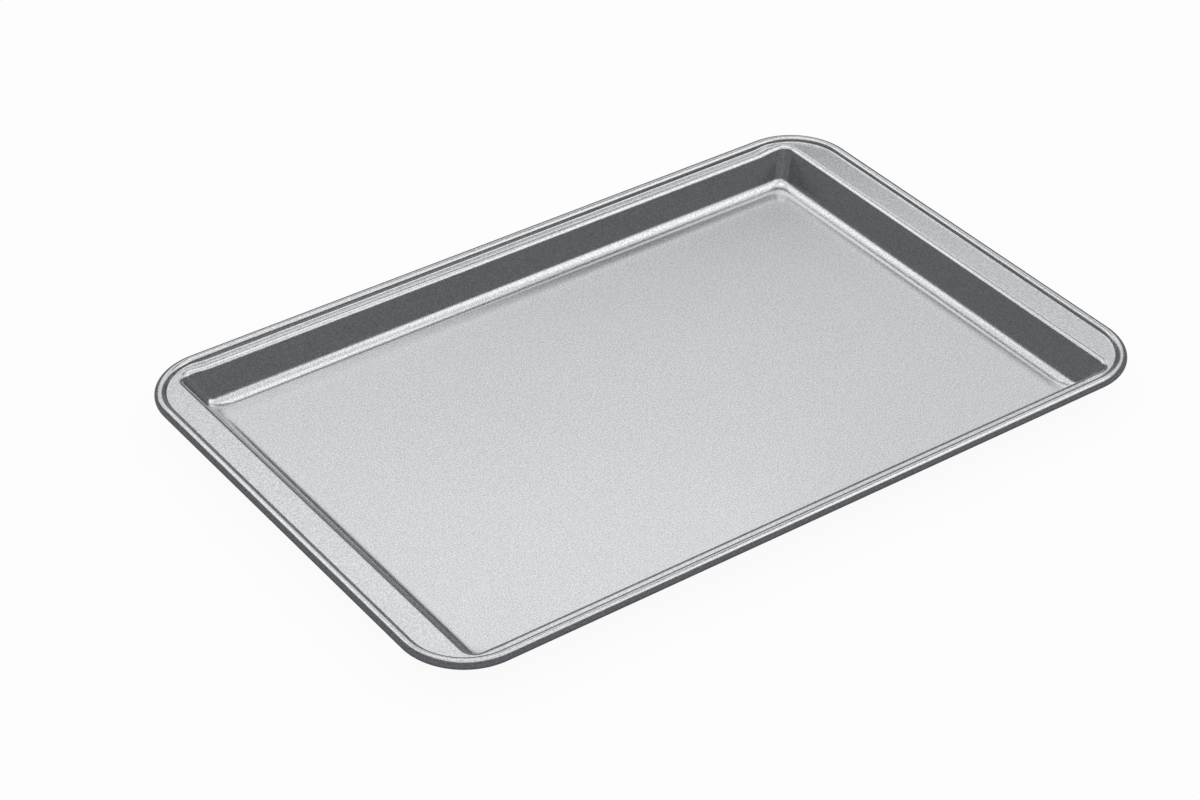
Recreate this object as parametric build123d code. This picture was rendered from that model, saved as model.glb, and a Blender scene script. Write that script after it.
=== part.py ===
from build123d import *
from math import atan2, cos, degrees, radians, sqrt, tan
import os

# A jelly roll pan: one steel sheet pressed into a shallow tray, with its edge rolled
# around a wire hoop. Millimetres, +Z up, +X along the length. The origin is the middle
# of the underside of the floor, which is what the pan stands on.

# Sheet and wire. The wire is hidden in the rim, so its section is plain: a regular polygon.
sheet = 0.6
wire_diameter = 4.2
wire_sides = 8
wire_clearance = 0.1
wire_butt_gap = 0.8

# Baking space, measured to the sharp corners of the sheet's upper skin at the side flanges
baking_length = 387.4
baking_width = 260.4
baking_depth = 17.25
wall_draft = 30.0

# Bends, each measured on the sheet's upper skin
corner_bend = 7.0
floor_bend = 9.0
mouth_bend = 4.0
step_bend = 1.2

# Flanges, from the mouth to the centre line of the rolled rim
handle_width = 18.9
side_flange_width = 8.1
rim_corner_radius = 31.9
side_flange_drop = 0.3
handle_rise = 0.6
handle_ramp_length = 9.0

# Places on the rolled edge, as angles round the wire from straight outwards: where it stops,
# and from where on it is the same all the way round
curl_end_angle = -120.0
curl_even_angle = 120.0

# Ramp sections as shares of the ramp's length
ramp_shares = [0.0, 0.25, 0.5, 0.75, 1.0]

overrun = 2.0

# Worked out from the sizes above
slope = tan(radians(wall_draft))
sheet_in_plan = sheet / cos(radians(wall_draft))
rim_radius = wire_diameter / 2 + wire_clearance + sheet
side_level = sheet + baking_depth
handle_level = side_level + handle_rise
rim_level = side_level + side_flange_drop
rim_half_length = baking_length / 2 + handle_width
rim_half_width = baking_width / 2 + side_flange_width
straight_x = rim_half_length - rim_corner_radius
straight_y = rim_half_width - rim_corner_radius
bend_setback = mouth_bend * tan(radians(90 - wall_draft) / 2)
wall_cut_level = rim_level - rim_radius - sheet


def mouth_half(size, level):
    """Half the distance between two facing walls' upper skins, at a height."""
    return size / 2 + (level - side_level) * slope


ramp_end = min(straight_x, mouth_half(baking_length, wall_cut_level) - corner_bend)


def across_walls(size, bottom, top, spread):
    """Outline of the space between two facing walls, seen along them, moved outwards by spread."""
    low = mouth_half(size, bottom) + spread
    high = mouth_half(size, top) + spread
    return make_face(Polyline((-low, bottom), (low, bottom), (high, top), (-high, top), close=True))


def step_reach(level):
    """How far inboard of the rim's centre line a flange at this level meets the step's bend."""
    rise = level - rim_level + step_bend
    return sqrt((rim_radius + step_bend) ** 2 - rise ** 2)


def press_form(floor_level, flange_level, offset):
    """A block whose upper face is one skin of the sheet: flange, mouth, walls and floor."""
    reach = step_reach(handle_level)
    length = 2 * (rim_half_length - reach)
    width = 2 * (rim_half_width - reach)
    plate = RectangleRounded(length, width, rim_corner_radius - reach)
    block = extrude(Plane.XY.offset(-overrun) * plate, flange_level + overrun)
    spread = offset / cos(radians(wall_draft))
    top = flange_level + overrun
    along_length = Plane.XZ * across_walls(baking_length, floor_level, top, spread)
    along_width = Plane.YZ * across_walls(baking_width, floor_level, top, spread)
    pocket = extrude(along_length, width, both=True) & extrude(along_width, length, both=True)
    pocket = fillet(pocket.faces().sort_by(Axis.Z)[0].edges(), floor_bend + offset)
    between_walls = pocket.edges() - pocket.edges().filter_by(Axis.X) - pocket.edges().filter_by(Axis.Y)
    block -= fillet(between_walls, corner_bend + offset)
    mouth = block.faces().sort_by(Axis.Z)[-1].inner_wires()[0].edges()
    return fillet(mouth, mouth_bend - offset)


def tray():
    """The sheet from the step inwards: handle flanges, mouth bend, walls, floor bend, floor."""
    return press_form(sheet, handle_level, 0) - press_form(0, handle_level - sheet, sheet)


def step_bend_centre(level):
    """Centre of the step's bend, from the rim's centre line."""
    return (-step_reach(level), level - rim_level + step_bend)


def rim_edges(level, end_angle):
    """Both skins of the step and the rolled rim, up to an angle, about the rim's centre line at (0, 0)."""
    centre = step_bend_centre(level)
    join = degrees(atan2(centre[1], centre[0]))
    upper = [
        CenterArc(centre, step_bend, -90, join - 90),
        CenterArc((0, 0), rim_radius, join, end_angle - join),
    ]
    lower = [
        CenterArc((0, 0), rim_radius - sheet, end_angle, join - end_angle),
        CenterArc(centre, step_bend + sheet, join - 180, 90 - join),
    ]
    lip = Line(upper[-1] @ 1, lower[0] @ 0)
    return upper + [lip] + lower


def rim_section(level):
    """The step and the rolled rim beside a flange at this level, cut square at the flange."""
    edges = rim_edges(level, curl_end_angle)
    return make_face(edges + [Line(edges[-1] @ 1, edges[0] @ 0)])


def even_curl_section():
    """The part of the rolled rim that is the same all the way round."""
    turn = curl_end_angle - curl_even_angle
    outer = CenterArc((0, 0), rim_radius, curl_even_angle, turn)
    inner = CenterArc((0, 0), rim_radius - sheet, curl_end_angle, -turn)
    return make_face([outer, Line(outer @ 1, inner @ 0), inner, Line(inner @ 1, outer @ 0)])


def side_section(level):
    """A long side from partway up its wall to the rim's even curl, with the flange at this level."""
    rim = [Pos(rim_half_width, rim_level) * edge for edge in rim_edges(level, curl_even_angle)]
    mouth = mouth_half(baking_width, level) + bend_setback
    centre = (mouth, level - mouth_bend)
    turn = 90 - wall_draft
    upper_bend = CenterArc(centre, mouth_bend, 90 + turn, -turn)
    lower_bend = CenterArc(centre, mouth_bend - sheet, 90, turn)
    foot = mouth_half(baking_width, wall_cut_level)
    edges = [Line((foot, wall_cut_level), upper_bend @ 0), upper_bend, Line(upper_bend @ 1, rim[0] @ 0)]
    edges += rim
    edges += [Line(rim[-1] @ 1, lower_bend @ 0), lower_bend]
    edges += [Line(lower_bend @ 1, (foot + sheet_in_plan, wall_cut_level))]
    edges += [Line((foot + sheet_in_plan, wall_cut_level), (foot, wall_cut_level))]
    return make_face(edges)


def rolled_rim():
    """The step and the rolled rim all the way round, beside flanges at the handles' level."""
    section = rim_section(handle_level)
    along_side = Plane((-straight_x, rim_half_width, rim_level), x_dir=(0, 1, 0), z_dir=(1, 0, 0))
    along_end = Plane((rim_half_length, straight_y, rim_level), x_dir=(1, 0, 0), z_dir=(0, -1, 0))
    side = extrude(along_side * section, 2 * straight_x)
    end = extrude(along_end * section, 2 * straight_y)
    corner = revolve(along_end * section, Axis((straight_x, straight_y, 0), (0, 0, 1)), 90)
    left_corner = mirror(corner, Plane.YZ)
    lower_half = [mirror(piece, Plane.XZ) for piece in (side, corner, left_corner)]
    return [side, corner, left_corner, end, mirror(end, Plane.YZ)] + lower_half


def lowered_side():
    """A long side's rim between the handles, where the flange lies lower, with its two ramps."""
    ramp_start = ramp_end - handle_ramp_length

    def section_at(x, level):
        return Plane((x, 0, 0), x_dir=(0, 1, 0), z_dir=(1, 0, 0)) * side_section(level)

    run = extrude(section_at(-ramp_start, side_level), 2 * ramp_start)
    sections = []
    for share in ramp_shares:
        rise = handle_rise * share ** 2 * (3 - 2 * share)
        sections.append(section_at(ramp_start + share * handle_ramp_length, side_level + rise))
    ramp = loft(sections)
    start = Plane((-ramp_end, rim_half_width, rim_level), x_dir=(0, 1, 0), z_dir=(1, 0, 0))
    curl = extrude(start * even_curl_section(), 2 * ramp_end)
    return run + [ramp, mirror(ramp, Plane.YZ), curl]


def side_room():
    """The room that a lowered side takes, from partway up its wall to outside the rolled rim."""
    inner = mouth_half(baking_width, wall_cut_level) - sheet
    width = rim_half_width + rim_radius + overrun - inner
    height = rim_level + rim_radius + overrun - wall_cut_level
    room = Box(2 * ramp_end, width, height, align=(Align.CENTER, Align.MIN, Align.MIN))
    return Pos(0, inner, wall_cut_level) * room


def pan_body():
    """The whole pressing, from its floor to its rolled rim."""
    side = lowered_side()
    room = side_room()
    level_pan = tray() + rolled_rim()
    return level_pan - [room, mirror(room, Plane.XZ)] + [side, mirror(side, Plane.XZ)]


def rim_wire():
    """The wire hoop inside the rolled rim, its ends butted in the middle of one long side."""
    section = RegularPolygon(wire_diameter / 2, wire_sides)
    butt = wire_butt_gap / 2
    open_side = Plane((butt, rim_half_width, rim_level), x_dir=(0, 1, 0), z_dir=(1, 0, 0))
    closed_side = Plane((0, -rim_half_width, rim_level), x_dir=(0, 1, 0), z_dir=(1, 0, 0))
    along_end = Plane((rim_half_length, straight_y, rim_level), x_dir=(1, 0, 0), z_dir=(0, -1, 0))
    corner = revolve(along_end * section, Axis((straight_x, straight_y, 0), (0, 0, 1)), 90)
    end = extrude(along_end * section, 2 * straight_y)
    half = end + [
        extrude(open_side * section, straight_x - butt),
        extrude(closed_side * section, straight_x),
        corner,
        mirror(corner, Plane.XZ),
    ]
    return half + mirror(half, Plane.YZ)


os.makedirs("parts", exist_ok=True)
export_step(pan_body(), "parts/pan_body.step")
export_step(rim_wire(), "parts/rim_wire.step")
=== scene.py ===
from math import atan, atan2, cos, pi, radians, sin, sqrt, tan

import bmesh
import bpy
from bpy.props import FloatProperty, FloatVectorProperty, IntProperty, PointerProperty
from mathutils import Matrix, Vector


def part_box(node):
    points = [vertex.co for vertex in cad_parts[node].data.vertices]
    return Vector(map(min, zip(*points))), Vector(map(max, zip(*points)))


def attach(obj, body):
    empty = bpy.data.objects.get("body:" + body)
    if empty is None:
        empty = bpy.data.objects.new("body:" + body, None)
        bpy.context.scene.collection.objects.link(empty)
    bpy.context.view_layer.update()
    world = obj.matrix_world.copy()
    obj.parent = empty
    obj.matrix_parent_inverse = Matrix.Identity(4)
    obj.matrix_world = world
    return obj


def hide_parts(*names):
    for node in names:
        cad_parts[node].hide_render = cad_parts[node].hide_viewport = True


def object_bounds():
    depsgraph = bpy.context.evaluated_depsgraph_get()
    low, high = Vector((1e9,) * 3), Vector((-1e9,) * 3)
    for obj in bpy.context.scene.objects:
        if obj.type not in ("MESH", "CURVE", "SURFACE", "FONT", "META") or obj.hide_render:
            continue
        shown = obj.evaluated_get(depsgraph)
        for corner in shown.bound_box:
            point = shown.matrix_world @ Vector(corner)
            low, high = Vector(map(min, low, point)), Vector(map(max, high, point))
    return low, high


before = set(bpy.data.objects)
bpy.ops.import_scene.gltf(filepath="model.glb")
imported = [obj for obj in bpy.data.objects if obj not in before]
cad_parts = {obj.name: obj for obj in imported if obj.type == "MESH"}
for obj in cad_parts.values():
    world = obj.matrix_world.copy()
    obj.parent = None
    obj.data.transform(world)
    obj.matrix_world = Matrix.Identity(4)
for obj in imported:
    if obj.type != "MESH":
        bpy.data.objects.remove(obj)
cad_low, cad_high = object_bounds()

bl_info = {
    "name": "Jelly roll pan",
    "version": (1, 0, 0),
    "blender": (4, 5, 0),
    "location": "3D View > Sidebar > Pan",
    "description": "A pressed baking tray with a rolled, wired rim, its coating and a small studio",
    "category": "Add Mesh",
}

BODY = "root"
MM = 0.001
QUARTER = pi / 2
CORNER_SIGNS = ((1, 1), (-1, 1), (-1, -1), (1, -1))

# Stations round the pan: how much of a long side holds a ramp, and the steps there and elsewhere
RAMP_SHARE = 0.09
RAMP_STEPS = 24
SIDE_STEPS = 28

# Rings on the flat stretches, as shares of the way across; the outer ones lie close to the bends
FLOOR_MARGIN = 0.1
FLOOR_SHARES = (0.7, 0.94, 0.995)
WALL_SHARES = (0.02, 0.5, 0.98)
FLANGE_SHARES = (0.02, 0.25, 0.5, 0.75, 0.98)
WALL_BELOW_SHARES = (0.02, 0.98)
FLOOR_BELOW_SHARES = (0.01, 0.1)
WELD_DISTANCE = 0.0001 * MM

NOISE_MEAN = 0.5
MATTE_ROUGHNESS = 0.9
WORLD_FILL = 0.7

# The camera: its sensor in mm, and the nearest thing that it sees in metres
SENSOR_WIDTH = 36.0
NEAREST_SEEN = 0.01

# The floor and the card under the pan: half their width, and their place below or above its underside
FLOOR_REACH = 6.0
FLOOR_GAP = 0.1 * MM
CARD_REACH = 1.5
CARD_LIFT = 0.2 * MM

# The standing card's places on the floor, all the way round, each with its height there, in metres
STANDING_CARD = (
    ((1.5, 0.5), 0.9),
    ((1.5, -1.5), 1.25),
    ((-1.5, -1.5), 3.0),
    ((-1.5, 1.5), 2.2),
    ((-0.6, 1.5), 0.6),
    ((1.5, 1.5), 1.15),
    ((1.5, 0.5), 0.9),
)

# The strip card's azimuths, each with its lower and upper elevation there, in degrees
STRIP_DISTANCE = 4.0
STRIP_CARD = ((13, 52, 60), (41, 49, 59), (62, 47.5, 55), (78, 47, 53))

# Name, azimuth and elevation in degrees, distance, width and height in metres, and radiance
SOFTBOXES = (
    ("front_softbox", -30, 50, 1.5, 0.8, 0.5, 0.5),
    ("top_softbox", 55, 71, 1.5, 0.9, 0.5, 0.5),
    ("back_softbox", 60, 42, 4.0, 1.4, 0.5, 0.25),
    ("left_softbox", 104, 47, 1.6, 0.6, 0.3, 0.5),
)


class PanSizes(bpy.types.PropertyGroup):
    """Real sizes of the pressing. Bends are measured on the sheet's upper skin."""

    sheet: FloatProperty(
        name="Sheet", description="Thickness of the coated sheet",
        default=0.6 * MM, unit="LENGTH")
    wire_diameter: FloatProperty(
        name="Wire", description="Thickness of the wire in the rim",
        default=4.2 * MM, unit="LENGTH")
    wire_clearance: FloatProperty(
        name="Wire clearance", description="Room round the wire inside the roll",
        default=0.1 * MM, unit="LENGTH")
    baking_length: FloatProperty(
        name="Baking length", description="Inside length at the mouth",
        default=387.4 * MM, unit="LENGTH")
    baking_width: FloatProperty(
        name="Baking width", description="Inside width at the mouth",
        default=260.4 * MM, unit="LENGTH")
    baking_depth: FloatProperty(
        name="Baking depth", description="Depth from the side flanges to the floor",
        default=17.25 * MM, unit="LENGTH")
    wall_draft: FloatProperty(
        name="Wall draft", description="How far the walls lean out from upright",
        default=radians(30.0), subtype="ANGLE")
    corner_bend: FloatProperty(
        name="Corner bend", description="Radius between two walls",
        default=7.0 * MM, unit="LENGTH")
    floor_bend: FloatProperty(
        name="Floor bend", description="Radius between floor and wall",
        default=9.0 * MM, unit="LENGTH")
    floor_corner: FloatProperty(
        name="Floor corner", description="Radius of the flat floor's corners in plan",
        default=16.0 * MM, unit="LENGTH")
    mouth_bend: FloatProperty(
        name="Mouth bend", description="Radius between wall and flange",
        default=4.0 * MM, unit="LENGTH")
    step_bend: FloatProperty(
        name="Step bend", description="Radius between flange and rim",
        default=1.2 * MM, unit="LENGTH")
    rim_corner: FloatProperty(
        name="Rim corner", description="Corner radius of the rim's centre line",
        default=31.9 * MM, unit="LENGTH")
    side_flange_drop: FloatProperty(
        name="Side flange drop", description="How far the side flanges lie below the rim's centre line",
        default=0.3 * MM, unit="LENGTH")
    handle_rise: FloatProperty(
        name="Handle rise", description="How far the handles lie above the side flanges",
        default=0.6 * MM, unit="LENGTH")
    ramp_start: FloatProperty(
        name="Ramp start", description="Distance from the middle to a handle's ramp",
        default=174.5 * MM, unit="LENGTH")
    ramp_length: FloatProperty(
        name="Ramp length", description="Length of the ramp up to a handle",
        default=10.0 * MM, unit="LENGTH")
    curl_end: FloatProperty(
        name="Curl end", description="Where the rolled edge stops, round the wire",
        default=radians(-120), subtype="ANGLE")
    bend_steps: IntProperty(
        name="Bend steps", description="Faces across each bend of the sheet",
        default=12, min=4)
    curl_steps: IntProperty(
        name="Curl steps", description="Faces round the rolled edge",
        default=36, min=12)
    corner_steps: IntProperty(
        name="Corner steps", description="Faces round each corner",
        default=24, min=6)


class CoatingLook(bpy.types.PropertyGroup):
    """Colours and finish of the silver-grey release coating and the bare wire."""

    coat_colour: FloatVectorProperty(
        name="Coating", description="Colour of the release coating",
        default=(0.60, 0.612, 0.622), size=3, subtype="COLOR")
    grain_size: FloatProperty(
        name="Grain size", description="Width of one grain of the coating",
        default=0.7 * MM, unit="LENGTH")
    grain_contrast: FloatProperty(
        name="Grain contrast", description="How far the grains' colour goes to either side of the mean",
        default=0.58, subtype="FACTOR")
    grain_relief: FloatProperty(
        name="Grain relief", description="Height of the coating's grain",
        default=0.05 * MM, unit="LENGTH")
    relief_share: FloatProperty(
        name="Relief share", description="How much of the grain's relief shows in the gloss",
        default=0.3, subtype="FACTOR")
    gloss: FloatProperty(
        name="Roughness", description="Mean roughness of the coating", default=0.18)
    grain_gloss: FloatProperty(
        name="Grain roughness", description="Spread of the roughness from grain to grain", default=0.12)
    cloud_gloss: FloatProperty(
        name="Cloud roughness", description="Spread of the coating's slow changes in roughness",
        default=0.04)
    cloud_scale: FloatProperty(
        name="Cloud scale", description="Waves per metre of those slow changes", default=14.0)
    wire_colour: FloatVectorProperty(
        name="Wire", description="Colour of the drawn steel wire",
        default=(0.55, 0.55, 0.56), size=3, subtype="COLOR")
    wire_shades: FloatVectorProperty(
        name="Wire shades", description="Darkest and lightest share of the wire's colour",
        default=(0.85, 1.1), size=2)
    wire_gloss: FloatProperty(
        name="Wire roughness", description="Roughness of the wire at its smoothest", default=0.25)
    line_gloss: FloatProperty(
        name="Line roughness", description="How much rougher the wire gets in its draw lines",
        default=0.2)
    line_scale: FloatProperty(
        name="Line scale", description="Waves per metre of the wire's draw lines", default=900.0)


class StudioSetup(bpy.types.PropertyGroup):
    """Camera, and the colours of the floor and the cards."""

    camera_place: FloatVectorProperty(
        name="Camera", description="Where the camera stands",
        default=(-776.59 * MM, -1015.68 * MM, 927.54 * MM), size=3,
        subtype="TRANSLATION", unit="LENGTH")
    camera_aim: FloatVectorProperty(
        name="Aim", description="Point that the camera looks at",
        default=(-33.18 * MM, -6.40 * MM, 18.15 * MM), size=3,
        subtype="TRANSLATION", unit="LENGTH")
    camera_roll: FloatProperty(
        name="Roll", description="Turn of the camera about its view",
        default=radians(0.7311), subtype="ANGLE")
    lens: FloatProperty(
        name="Lens", description="Focal length in mm on a 36 mm sensor", default=94.044)
    floor_colour: FloatVectorProperty(
        name="Floor", description="Colour of the studio floor",
        default=(0.92, 0.92, 0.92), size=3, subtype="COLOR")
    floor_shade: FloatProperty(
        name="Floor shade", description="Share of the floor's own shading in its white",
        default=0.06, subtype="FACTOR")
    card_colour: FloatVectorProperty(
        name="Cards", description="Colour of the dark cards round the pan",
        default=(0.25, 0.25, 0.265), size=3, subtype="COLOR")


class Value:
    """A socket's value that Python's arithmetic builds on with Math nodes."""

    def __init__(self, tree, socket):
        self.tree = tree
        self.socket = socket

    def math(self, operation, other):
        return self.tree.add("ShaderNodeMath", {"operation": operation}, [self, other])

    def __add__(self, other):
        return self.math("ADD", other)

    def __sub__(self, other):
        return self.math("SUBTRACT", other)

    def __mul__(self, other):
        return self.math("MULTIPLY", other)

    __radd__ = __add__
    __rmul__ = __mul__


class Finish:
    """A node tree and the one method that adds to it."""

    def __init__(self, tree):
        self.tree = tree
        tree.nodes.clear()

    def add(self, kind, settings=None, inputs=(), output=0):
        """Adds a node, sets its settings and then its sockets, and returns one output."""
        node = self.tree.nodes.new(kind)
        for name, setting in (settings or {}).items():
            setattr(node, name, setting)
        pairs = inputs.items() if isinstance(inputs, dict) else enumerate(inputs)
        for key, value in pairs:
            socket = self.find(node.inputs, key)
            if isinstance(value, Value):
                self.tree.links.new(value.socket, socket)
            else:
                socket.default_value = value
        return Value(self, self.find(node.outputs, output)) if node.outputs else None

    @staticmethod
    def find(sockets, key):
        """The socket with this number or identifier, or else with this name."""
        for number, socket in enumerate(sockets):
            if key in (number, socket.identifier):
                return socket
        return sockets[key]


def new_finish(name):
    """An empty node material."""
    material = bpy.data.materials.new(name)
    material.use_nodes = True
    return material, Finish(material.node_tree)


def smooth_share(share):
    """0 to 1 with a soft start and end."""
    share = min(1.0, max(0.0, share))
    return share * share * (3 - 2 * share)


class Pressing:
    """The sheet as closed rings, from the middle of its floor out to the lip and back below."""

    def __init__(self, sizes):
        self.s = sizes
        self.slope = tan(sizes.wall_draft)
        self.rim_radius = sizes.wire_diameter / 2 + sizes.wire_clearance + sizes.sheet
        self.side_level = sizes.sheet + sizes.baking_depth
        self.rim_level = self.side_level + sizes.side_flange_drop
        low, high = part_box("pan_body")
        self.rim_half = ((high.x - low.x) / 2 - self.rim_radius, (high.y - low.y) / 2 - self.rim_radius)
        self.corner_shares = [step / sizes.corner_steps for step in range(sizes.corner_steps + 1)]
        end_shares = [step / SIDE_STEPS for step in range(1, SIDE_STEPS)]
        self.side_shares = (self.long_shares(), end_shares)

    def long_shares(self):
        """Places along a long side as shares of its straight run, close together at the ramps."""
        fine = [RAMP_SHARE * step / RAMP_STEPS for step in range(1, RAMP_STEPS)]
        between = 1 - 2 * RAMP_SHARE
        middle = [RAMP_SHARE + between * step / SIDE_STEPS for step in range(SIDE_STEPS + 1)]
        return fine + middle + [1 - share for share in reversed(fine)]

    def wall_half(self, size, level):
        """Half the distance between two facing walls' upper skins at a height."""
        return size / 2 + (level - self.side_level) * self.slope

    def normals(self):
        """The outward direction at each station of a ring, seen from above, as an angle."""
        angles = []
        for corner in range(4):
            angles += [(corner + share) * QUARTER for share in self.corner_shares]
            angles += [(corner + 1) * QUARTER] * len(self.side_shares[corner % 2])
        return angles

    def loop(self, corner_point):
        """A closed outline from one function that gives the points of its four corners."""
        points = []
        for corner in range(4):
            points += [corner_point(corner, share) for share in self.corner_shares]
            start, end = corner_point(corner, 1), corner_point((corner + 1) % 4, 0)
            points += [start.lerp(end, share) for share in self.side_shares[corner % 2]]
        return points

    def ring(self, centre_x, centre_y, across, along):
        """A closed outline seen from above: straight sides and quarter-ellipse corners.

        The corners' centres are at (centre_x, centre_y); across is an ellipse's reach square to the
        corner's diagonal and along its reach on the diagonal.
        """
        def corner_point(corner, share):
            diagonal = (corner + 0.5) * QUARTER
            turn = (share - 0.5) * QUARTER
            length = sqrt((along * cos(turn)) ** 2 + (across * sin(turn)) ** 2)
            out = along ** 2 * cos(turn) / length
            side = across ** 2 * sin(turn) / length
            sign_x, sign_y = CORNER_SIGNS[corner]
            return Vector((
                sign_x * centre_x + out * cos(diagonal) - side * sin(diagonal),
                sign_y * centre_y + out * sin(diagonal) + side * cos(diagonal),
            ))

        return self.loop(corner_point)

    def floor_ring(self, tilt, offset):
        """One skin of the bend round the floor, where it has turned up by tilt.

        The bend between two walls runs down into it and opens out to the floor's own corners.
        """
        s = self.s
        rounding = s.floor_corner * (1 - tilt / (QUARTER - s.wall_draft)) ** 2
        height = s.sheet + s.floor_bend
        spine = s.floor_bend - s.corner_bend
        inset = s.floor_bend / cos(s.wall_draft) - spine * sin(tilt) + rounding
        centre_x = self.wall_half(s.baking_length, height) - inset
        centre_y = self.wall_half(s.baking_width, height) - inset
        radius = s.corner_bend + offset

        def corner_point(corner, share):
            angle = (corner + share) * QUARTER
            fall = atan2((abs(cos(angle)) + abs(sin(angle))) * cos(tilt), sin(tilt))
            reach = radius * cos(fall) + rounding
            sign_x, sign_y = CORNER_SIGNS[corner]
            return Vector((
                sign_x * centre_x + reach * cos(angle),
                sign_y * centre_y + reach * sin(angle),
                height - spine * cos(tilt) - radius * sin(fall),
            ))

        return self.loop(corner_point)

    def wall_ring(self, level, spread):
        """The walls' upper skin at a height, moved out square to itself by spread."""
        s = self.s
        to_axis = s.corner_bend / cos(s.wall_draft)
        radius = s.corner_bend + spread
        tilt = atan(self.slope * sqrt(2))
        centre_x = self.wall_half(s.baking_length, level) - to_axis
        centre_y = self.wall_half(s.baking_width, level) - to_axis
        return self.ring(centre_x, centre_y, radius, radius / cos(tilt))

    def rim_ring(self, offset):
        """The rim's centre line moved out by offset."""
        radius = self.s.rim_corner
        reach_x, reach_y = (half - radius for half in self.rim_half)
        return self.ring(reach_x, reach_y, radius + offset, radius + offset)

    def rings(self, flange_level):
        """All rings of the closed shell with the flange at one level, as lists of 3D points."""
        s = self.s
        rings = []
        angles = self.normals()
        outward = [Vector((cos(angle), sin(angle))) for angle in angles]
        turns = [QUARTER - atan(self.slope * (abs(cos(a)) + abs(sin(a)))) for a in angles]
        mouth_path = self.wall_ring(flange_level - s.mouth_bend, s.mouth_bend)
        rise = flange_level - self.rim_level + s.step_bend
        step_reach = sqrt((self.rim_radius + s.step_bend) ** 2 - rise ** 2)
        join = atan2(rise, -step_reach)

        def between(shares, end):
            """Rings on the way from the last ring to another one."""
            start = rings[-1]
            for share in shares:
                rings.append([a.lerp(b, share) for a, b in zip(start, end)])

        def skin(offset):
            """One skin's two bends, at the floor and at the mouth, offset below the upper skin."""
            shares = [step / s.bend_steps for step in range(s.bend_steps + 1)]
            floor = [self.floor_ring((QUARTER - s.wall_draft) * share, offset) for share in shares]
            radius = s.mouth_bend - offset
            centre = flange_level - s.mouth_bend
            mouth = [
                [Vector((*(p - n * radius * sin(turn * share)), centre + radius * cos(turn * share)))
                 for p, n, turn in zip(mouth_path, outward, turns)]
                for share in reversed(shares)
            ]
            return floor, mouth

        def arc(centre, height, radius, start, end, steps):
            """Rings round a centre that lies beside the rim's centre line."""
            for step in range(steps + 1):
                angle = start + (end - start) * step / steps
                level = height + radius * sin(angle)
                path = self.rim_ring(centre + radius * cos(angle))
                rings.append([Vector((p.x, p.y, level)) for p in path])

        floor, mouth = skin(0)
        middle = Vector((0, 0, s.sheet))
        rings.append([point.lerp(middle, FLOOR_MARGIN) for point in floor[0]])
        between(FLOOR_SHARES, floor[0])
        rings += floor
        between(WALL_SHARES, mouth[0])
        rings += mouth
        step_start = [Vector((p.x, p.y, flange_level)) for p in self.rim_ring(-step_reach)]
        between(FLANGE_SHARES, step_start)
        step_height = self.rim_level + rise
        arc(-step_reach, step_height, s.step_bend, -QUARTER, join - pi, s.bend_steps // 2)
        arc(0, self.rim_level, self.rim_radius, join, s.curl_end, s.curl_steps)
        arc(0, self.rim_level, self.rim_radius - s.sheet, s.curl_end, join, s.curl_steps)
        arc(-step_reach, step_height, s.step_bend + s.sheet, join - pi, -QUARTER, s.bend_steps // 2)
        floor, mouth = skin(s.sheet)
        between(WALL_SHARES, mouth[-1])
        rings += mouth[::-1]
        between(WALL_BELOW_SHARES, floor[-1])
        rings += floor[::-1]
        between(FLOOR_BELOW_SHARES, [Vector((0, 0, 0))] * len(outward))
        return rings

    def build(self):
        """The closed shell as a mesh."""
        s = self.s
        low = self.rings(self.side_level)
        high = self.rings(self.side_level + s.handle_rise)
        sheet = bmesh.new()
        rings = []
        for low_ring, high_ring in zip(low, high):
            ring = []
            for a, b in zip(low_ring, high_ring):
                share = smooth_share((abs(a.x) - s.ramp_start) / s.ramp_length)
                ring.append(sheet.verts.new(a.lerp(b, share)))
            rings.append(ring)
        count = len(rings[0])
        for inner, outer in zip(rings, rings[1:]):
            for i in range(count):
                j = (i + 1) % count
                sheet.faces.new((inner[i], outer[i], outer[j], inner[j]))
        sheet.faces.new(rings[0])
        sheet.faces.new(rings[-1][::-1])
        bmesh.ops.remove_doubles(sheet, verts=sheet.verts, dist=WELD_DISTANCE)
        bmesh.ops.recalc_face_normals(sheet, faces=sheet.faces)
        for face in sheet.faces:
            face.smooth = True
        mesh = bpy.data.meshes.new("pressed_sheet")
        sheet.to_mesh(mesh)
        sheet.free()
        return mesh


def noise(finish, scale, detail, roughness=0.5):
    """Noise in the object's own space, with so many waves per metre."""
    place = finish.add("ShaderNodeTexCoord", output="Object")
    return finish.add("ShaderNodeTexNoise", {"noise_dimensions": "3D"}, {
        "Vector": place, "Scale": scale, "Detail": detail, "Roughness": roughness,
    }, "Fac")


def mottled(finish, factor, colour, dark, light):
    """A colour that goes from a dark to a light share of itself with the factor."""
    return finish.add("ShaderNodeMix", {"data_type": "RGBA"}, {
        "Factor_Float": factor,
        "A_Color": (*[channel * dark for channel in colour], 1),
        "B_Color": (*[channel * light for channel in colour], 1),
    }, "Result_Color")


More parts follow.
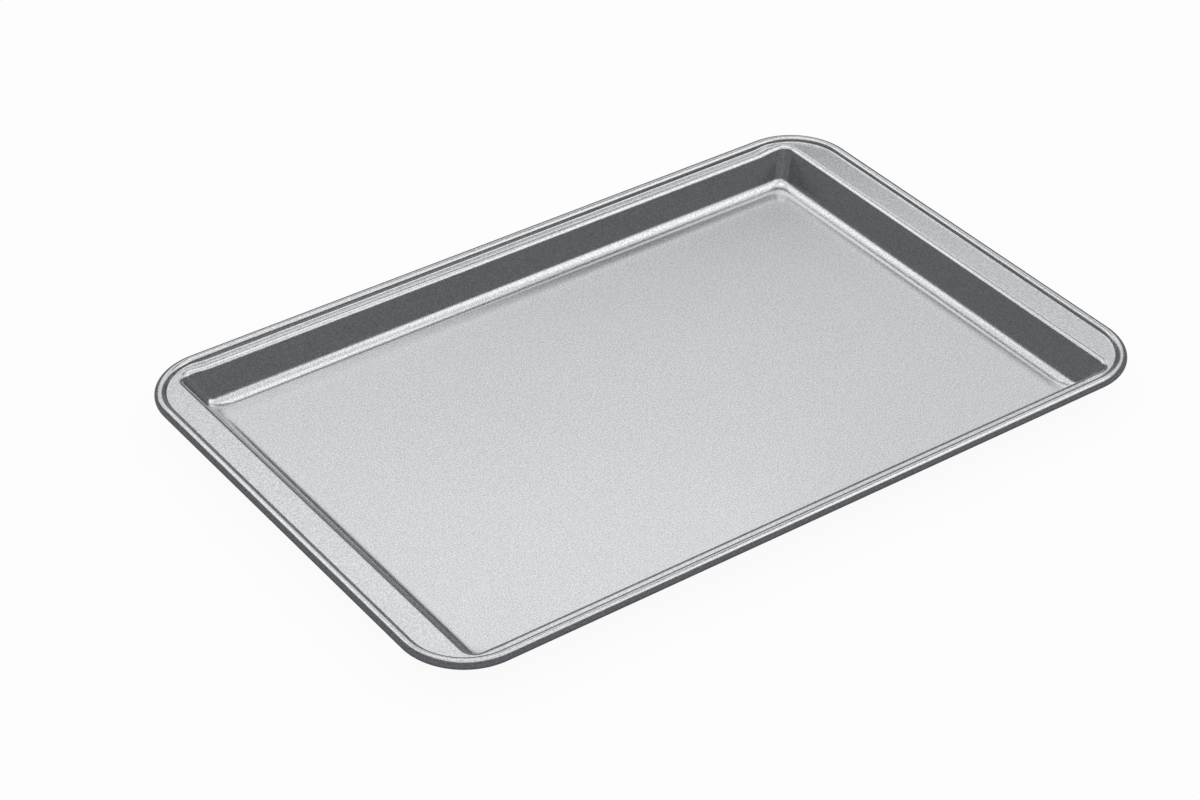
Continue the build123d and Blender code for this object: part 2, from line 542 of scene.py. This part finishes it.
def coating_finish(look):
    """Silver-grey metallic release coating: fine grain, half gloss."""
    material, finish = new_finish("release_coating")
    grain = noise(finish, 1 / look.grain_size, detail=1.0)
    cloud = noise(finish, look.cloud_scale, detail=3.0, roughness=0.55)
    fine_rough = look.grain_gloss * (grain - NOISE_MEAN)
    slow_rough = look.cloud_gloss * (cloud - NOISE_MEAN)
    colour = mottled(finish, grain, look.coat_colour, 1 - look.grain_contrast, 1 + look.grain_contrast)
    normal = finish.add("ShaderNodeBump", {}, {
        "Strength": look.relief_share, "Distance": look.grain_relief, "Height": grain,
    }, "Normal")
    surface = finish.add("ShaderNodeBsdfPrincipled", {}, {
        "Base Color": colour, "Metallic": 1.0, "Normal": normal,
        "Roughness": look.gloss + fine_rough + slow_rough,
    }, "BSDF")
    finish.add("ShaderNodeOutputMaterial", {}, {"Surface": surface})
    return material


def wire_finish(look):
    """Plain drawn steel with faint draw lines."""
    material, finish = new_finish("drawn_steel")
    lines = noise(finish, look.line_scale, detail=2.0)
    colour = mottled(finish, lines, look.wire_colour, *look.wire_shades)
    surface = finish.add("ShaderNodeBsdfPrincipled", {}, {
        "Base Color": colour, "Metallic": 1.0, "Roughness": look.wire_gloss + look.line_gloss * lines,
    }, "BSDF")
    finish.add("ShaderNodeOutputMaterial", {}, {"Surface": surface})
    return material


class PAN_OT_press_sheet(bpy.types.Operator):
    """Press the tray from one sheet, with its edge rolled round the wire, and coat it"""

    bl_idname = "pan.press_sheet"
    bl_label = "Press the sheet"

    def execute(self, context):
        scene = context.scene
        sheet = bpy.data.objects.new("pressed_sheet", Pressing(scene.pan_sizes).build())
        scene.collection.objects.link(sheet)
        sheet.data.materials.append(coating_finish(scene.pan_look))
        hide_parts("pan_body")
        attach(sheet, BODY)
        return {"FINISHED"}


class PAN_OT_finish_wire(bpy.types.Operator):
    """Give the wire hoop inside the rim its drawn steel finish"""

    bl_idname = "pan.finish_wire"
    bl_label = "Finish the wire"

    def execute(self, context):
        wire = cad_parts["rim_wire"]
        wire.data.materials.clear()
        wire.data.materials.append(wire_finish(context.scene.pan_look))
        return {"FINISHED"}


def matte(finish, colour):
    """A surface without gloss."""
    return finish.add("ShaderNodeBsdfPrincipled", {}, {
        "Base Color": (*colour, 1), "Roughness": MATTE_ROUGHNESS, "Specular IOR Level": 0.0,
    }, "BSDF")


def seen_directly(finish):
    """1 where the camera, gloss or glass looks, else 0."""
    camera, glossy, transmission = (
        finish.add("ShaderNodeLightPath", output=name)
        for name in ("Is Camera Ray", "Is Glossy Ray", "Is Transmission Ray"))
    return camera + glossy + transmission


def square_corners(reach, level):
    """The four corners of a level square round the pan."""
    return [(x * reach, y * reach, level) for x, y in ((-1, -1), (1, -1), (1, 1), (-1, 1))]


def flat_object(name, verts, faces, material):
    """An object of plain flat faces with one material."""
    mesh = bpy.data.meshes.new(name)
    mesh.from_pydata(verts, [], faces)
    mesh.materials.append(material)
    return bpy.data.objects.new(name, mesh)


def make_floor(studio):
    """A plain pale floor under the pan."""
    material, finish = new_finish("studio_floor")
    shaded = matte(finish, studio.floor_colour)
    white = finish.add("ShaderNodeEmission", {}, {"Color": (1, 1, 1, 1), "Strength": 1.0})
    share = (1 - studio.floor_shade) * seen_directly(finish)
    surface = finish.add("ShaderNodeMixShader", {}, [share, shaded, white])
    finish.add("ShaderNodeOutputMaterial", {}, {"Surface": surface})
    corners = square_corners(FLOOR_REACH, cad_low[2] - FLOOR_GAP)
    floor = flat_object("studio_floor", corners, [(0, 1, 2, 3)], material)
    return floor


def sky_point(azimuth, elevation, distance):
    """A point seen from the pan at an azimuth from +X and an elevation, both in degrees."""
    azimuth, elevation = radians(azimuth), radians(elevation)
    level = cos(elevation)
    return distance * Vector((level * cos(azimuth), level * sin(azimuth), sin(elevation)))


def make_cards(studio):
    """Dark cards that only the pan's gloss sees: one under it, one round it and a strip above."""
    level = cad_low[2] + CARD_LIFT
    verts = square_corners(CARD_REACH, level)
    faces = [(0, 1, 2, 3)]

    def band(low, high):
        """Faces between two rows of points."""
        first, count = len(verts), len(low)
        verts.extend(low + high)
        for i in range(first, first + count - 1):
            faces.append((i, i + 1, i + 1 + count, i + count))

    band([(x, y, level) for (x, y), height in STANDING_CARD],
         [(x, y, height) for (x, y), height in STANDING_CARD])
    band([sky_point(azimuth, low, STRIP_DISTANCE) for azimuth, low, high in STRIP_CARD],
         [sky_point(azimuth, high, STRIP_DISTANCE) for azimuth, low, high in STRIP_CARD])
    material, finish = new_finish("studio_cards")
    finish.add("ShaderNodeOutputMaterial", {}, {"Surface": matte(finish, studio.card_colour)})
    cards = flat_object("studio_cards", verts, faces, material)
    cards.visible_camera = False
    cards.visible_diffuse = False
    cards.visible_shadow = False
    return cards


def make_softbox(name, azimuth, elevation, distance, width, height, radiance):
    """A rectangular area lamp of even brightness, facing the pan."""
    lamp = bpy.data.lights.new(name, "AREA")
    lamp.shape = "RECTANGLE"
    lamp.size = width
    lamp.size_y = height
    lamp.energy = radiance * width * height * pi
    softbox = bpy.data.objects.new(name, lamp)
    softbox.location = sky_point(azimuth, elevation, distance)
    softbox.rotation_euler = (-softbox.location).to_track_quat("-Z", "Y").to_euler()
    return softbox


def make_world(scene):
    """White wherever the camera, gloss or glass sees it, and a softer fill elsewhere."""
    world = bpy.data.worlds.new("studio_world")
    world.use_nodes = True
    finish = Finish(world.node_tree)
    white = finish.add("ShaderNodeBackground", {}, {"Color": (1, 1, 1, 1), "Strength": 1.0})
    fill = finish.add("ShaderNodeBackground", {}, {"Color": (1, 1, 1, 1), "Strength": WORLD_FILL})
    both = finish.add("ShaderNodeMixShader", {}, [seen_directly(finish), fill, white])
    finish.add("ShaderNodeOutputWorld", {}, {"Surface": both})
    scene.world = world


def make_camera(studio):
    """The camera at the photograph's viewing angle."""
    data = bpy.data.cameras.new("camera")
    data.sensor_width = SENSOR_WIDTH
    data.lens = studio.lens
    data.clip_start = NEAREST_SEEN
    camera = bpy.data.objects.new("camera", data)
    place, aim = Vector(studio.camera_place), Vector(studio.camera_aim)
    back = (place - aim).normalized()
    right = Vector((0, 0, 1)).cross(back).normalized()
    up = back.cross(right)
    turn = studio.camera_roll
    right, up = right * cos(turn) + up * sin(turn), up * cos(turn) - right * sin(turn)
    axes = Matrix((right, up, back)).transposed().to_4x4()
    camera.matrix_world = Matrix.Translation(place) @ axes
    return camera


class PAN_OT_set_stage(bpy.types.Operator):
    """Lay the floor, stand the cards, hang the soft lamps and set up the camera"""

    bl_idname = "pan.set_stage"
    bl_label = "Set the stage"

    def execute(self, context):
        scene = context.scene
        studio = scene.pan_studio
        camera = make_camera(studio)
        softboxes = [make_softbox(*softbox) for softbox in SOFTBOXES]
        for thing in (make_floor(studio), camera, make_cards(studio), *softboxes):
            scene.collection.objects.link(thing)
        scene.camera = camera
        make_world(scene)
        scene.view_settings.view_transform = "Standard"
        return {"FINISHED"}


class PAN_PT_bench(bpy.types.Panel):
    """Sizes, finish and steps of the pan"""

    bl_label = "Jelly roll pan"
    bl_idname = "PAN_PT_bench"
    bl_space_type = "VIEW_3D"
    bl_region_type = "UI"
    bl_category = "Pan"

    def draw(self, context):
        for step in STEPS:
            self.layout.operator(step.bl_idname)
        for group in (context.scene.pan_sizes, context.scene.pan_look, context.scene.pan_studio):
            box = self.layout.box()
            for name in group.__annotations__:
                box.prop(group, name)


STEPS = (PAN_OT_press_sheet, PAN_OT_finish_wire, PAN_OT_set_stage)
GROUPS = {"pan_sizes": PanSizes, "pan_look": CoatingLook, "pan_studio": StudioSetup}


def register():
    for cls in (*GROUPS.values(), *STEPS, PAN_PT_bench):
        bpy.utils.register_class(cls)
    for name, cls in GROUPS.items():
        setattr(bpy.types.Scene, name, PointerProperty(type=cls))


def unregister():
    for name in GROUPS:
        delattr(bpy.types.Scene, name)
    for cls in (PAN_PT_bench, *reversed(STEPS), *reversed(GROUPS.values())):
        bpy.utils.unregister_class(cls)


def main():
    register()
    bpy.ops.pan.press_sheet()
    bpy.ops.pan.finish_wire()
    bpy.ops.pan.set_stage()


if __name__ == "__main__":
    main()
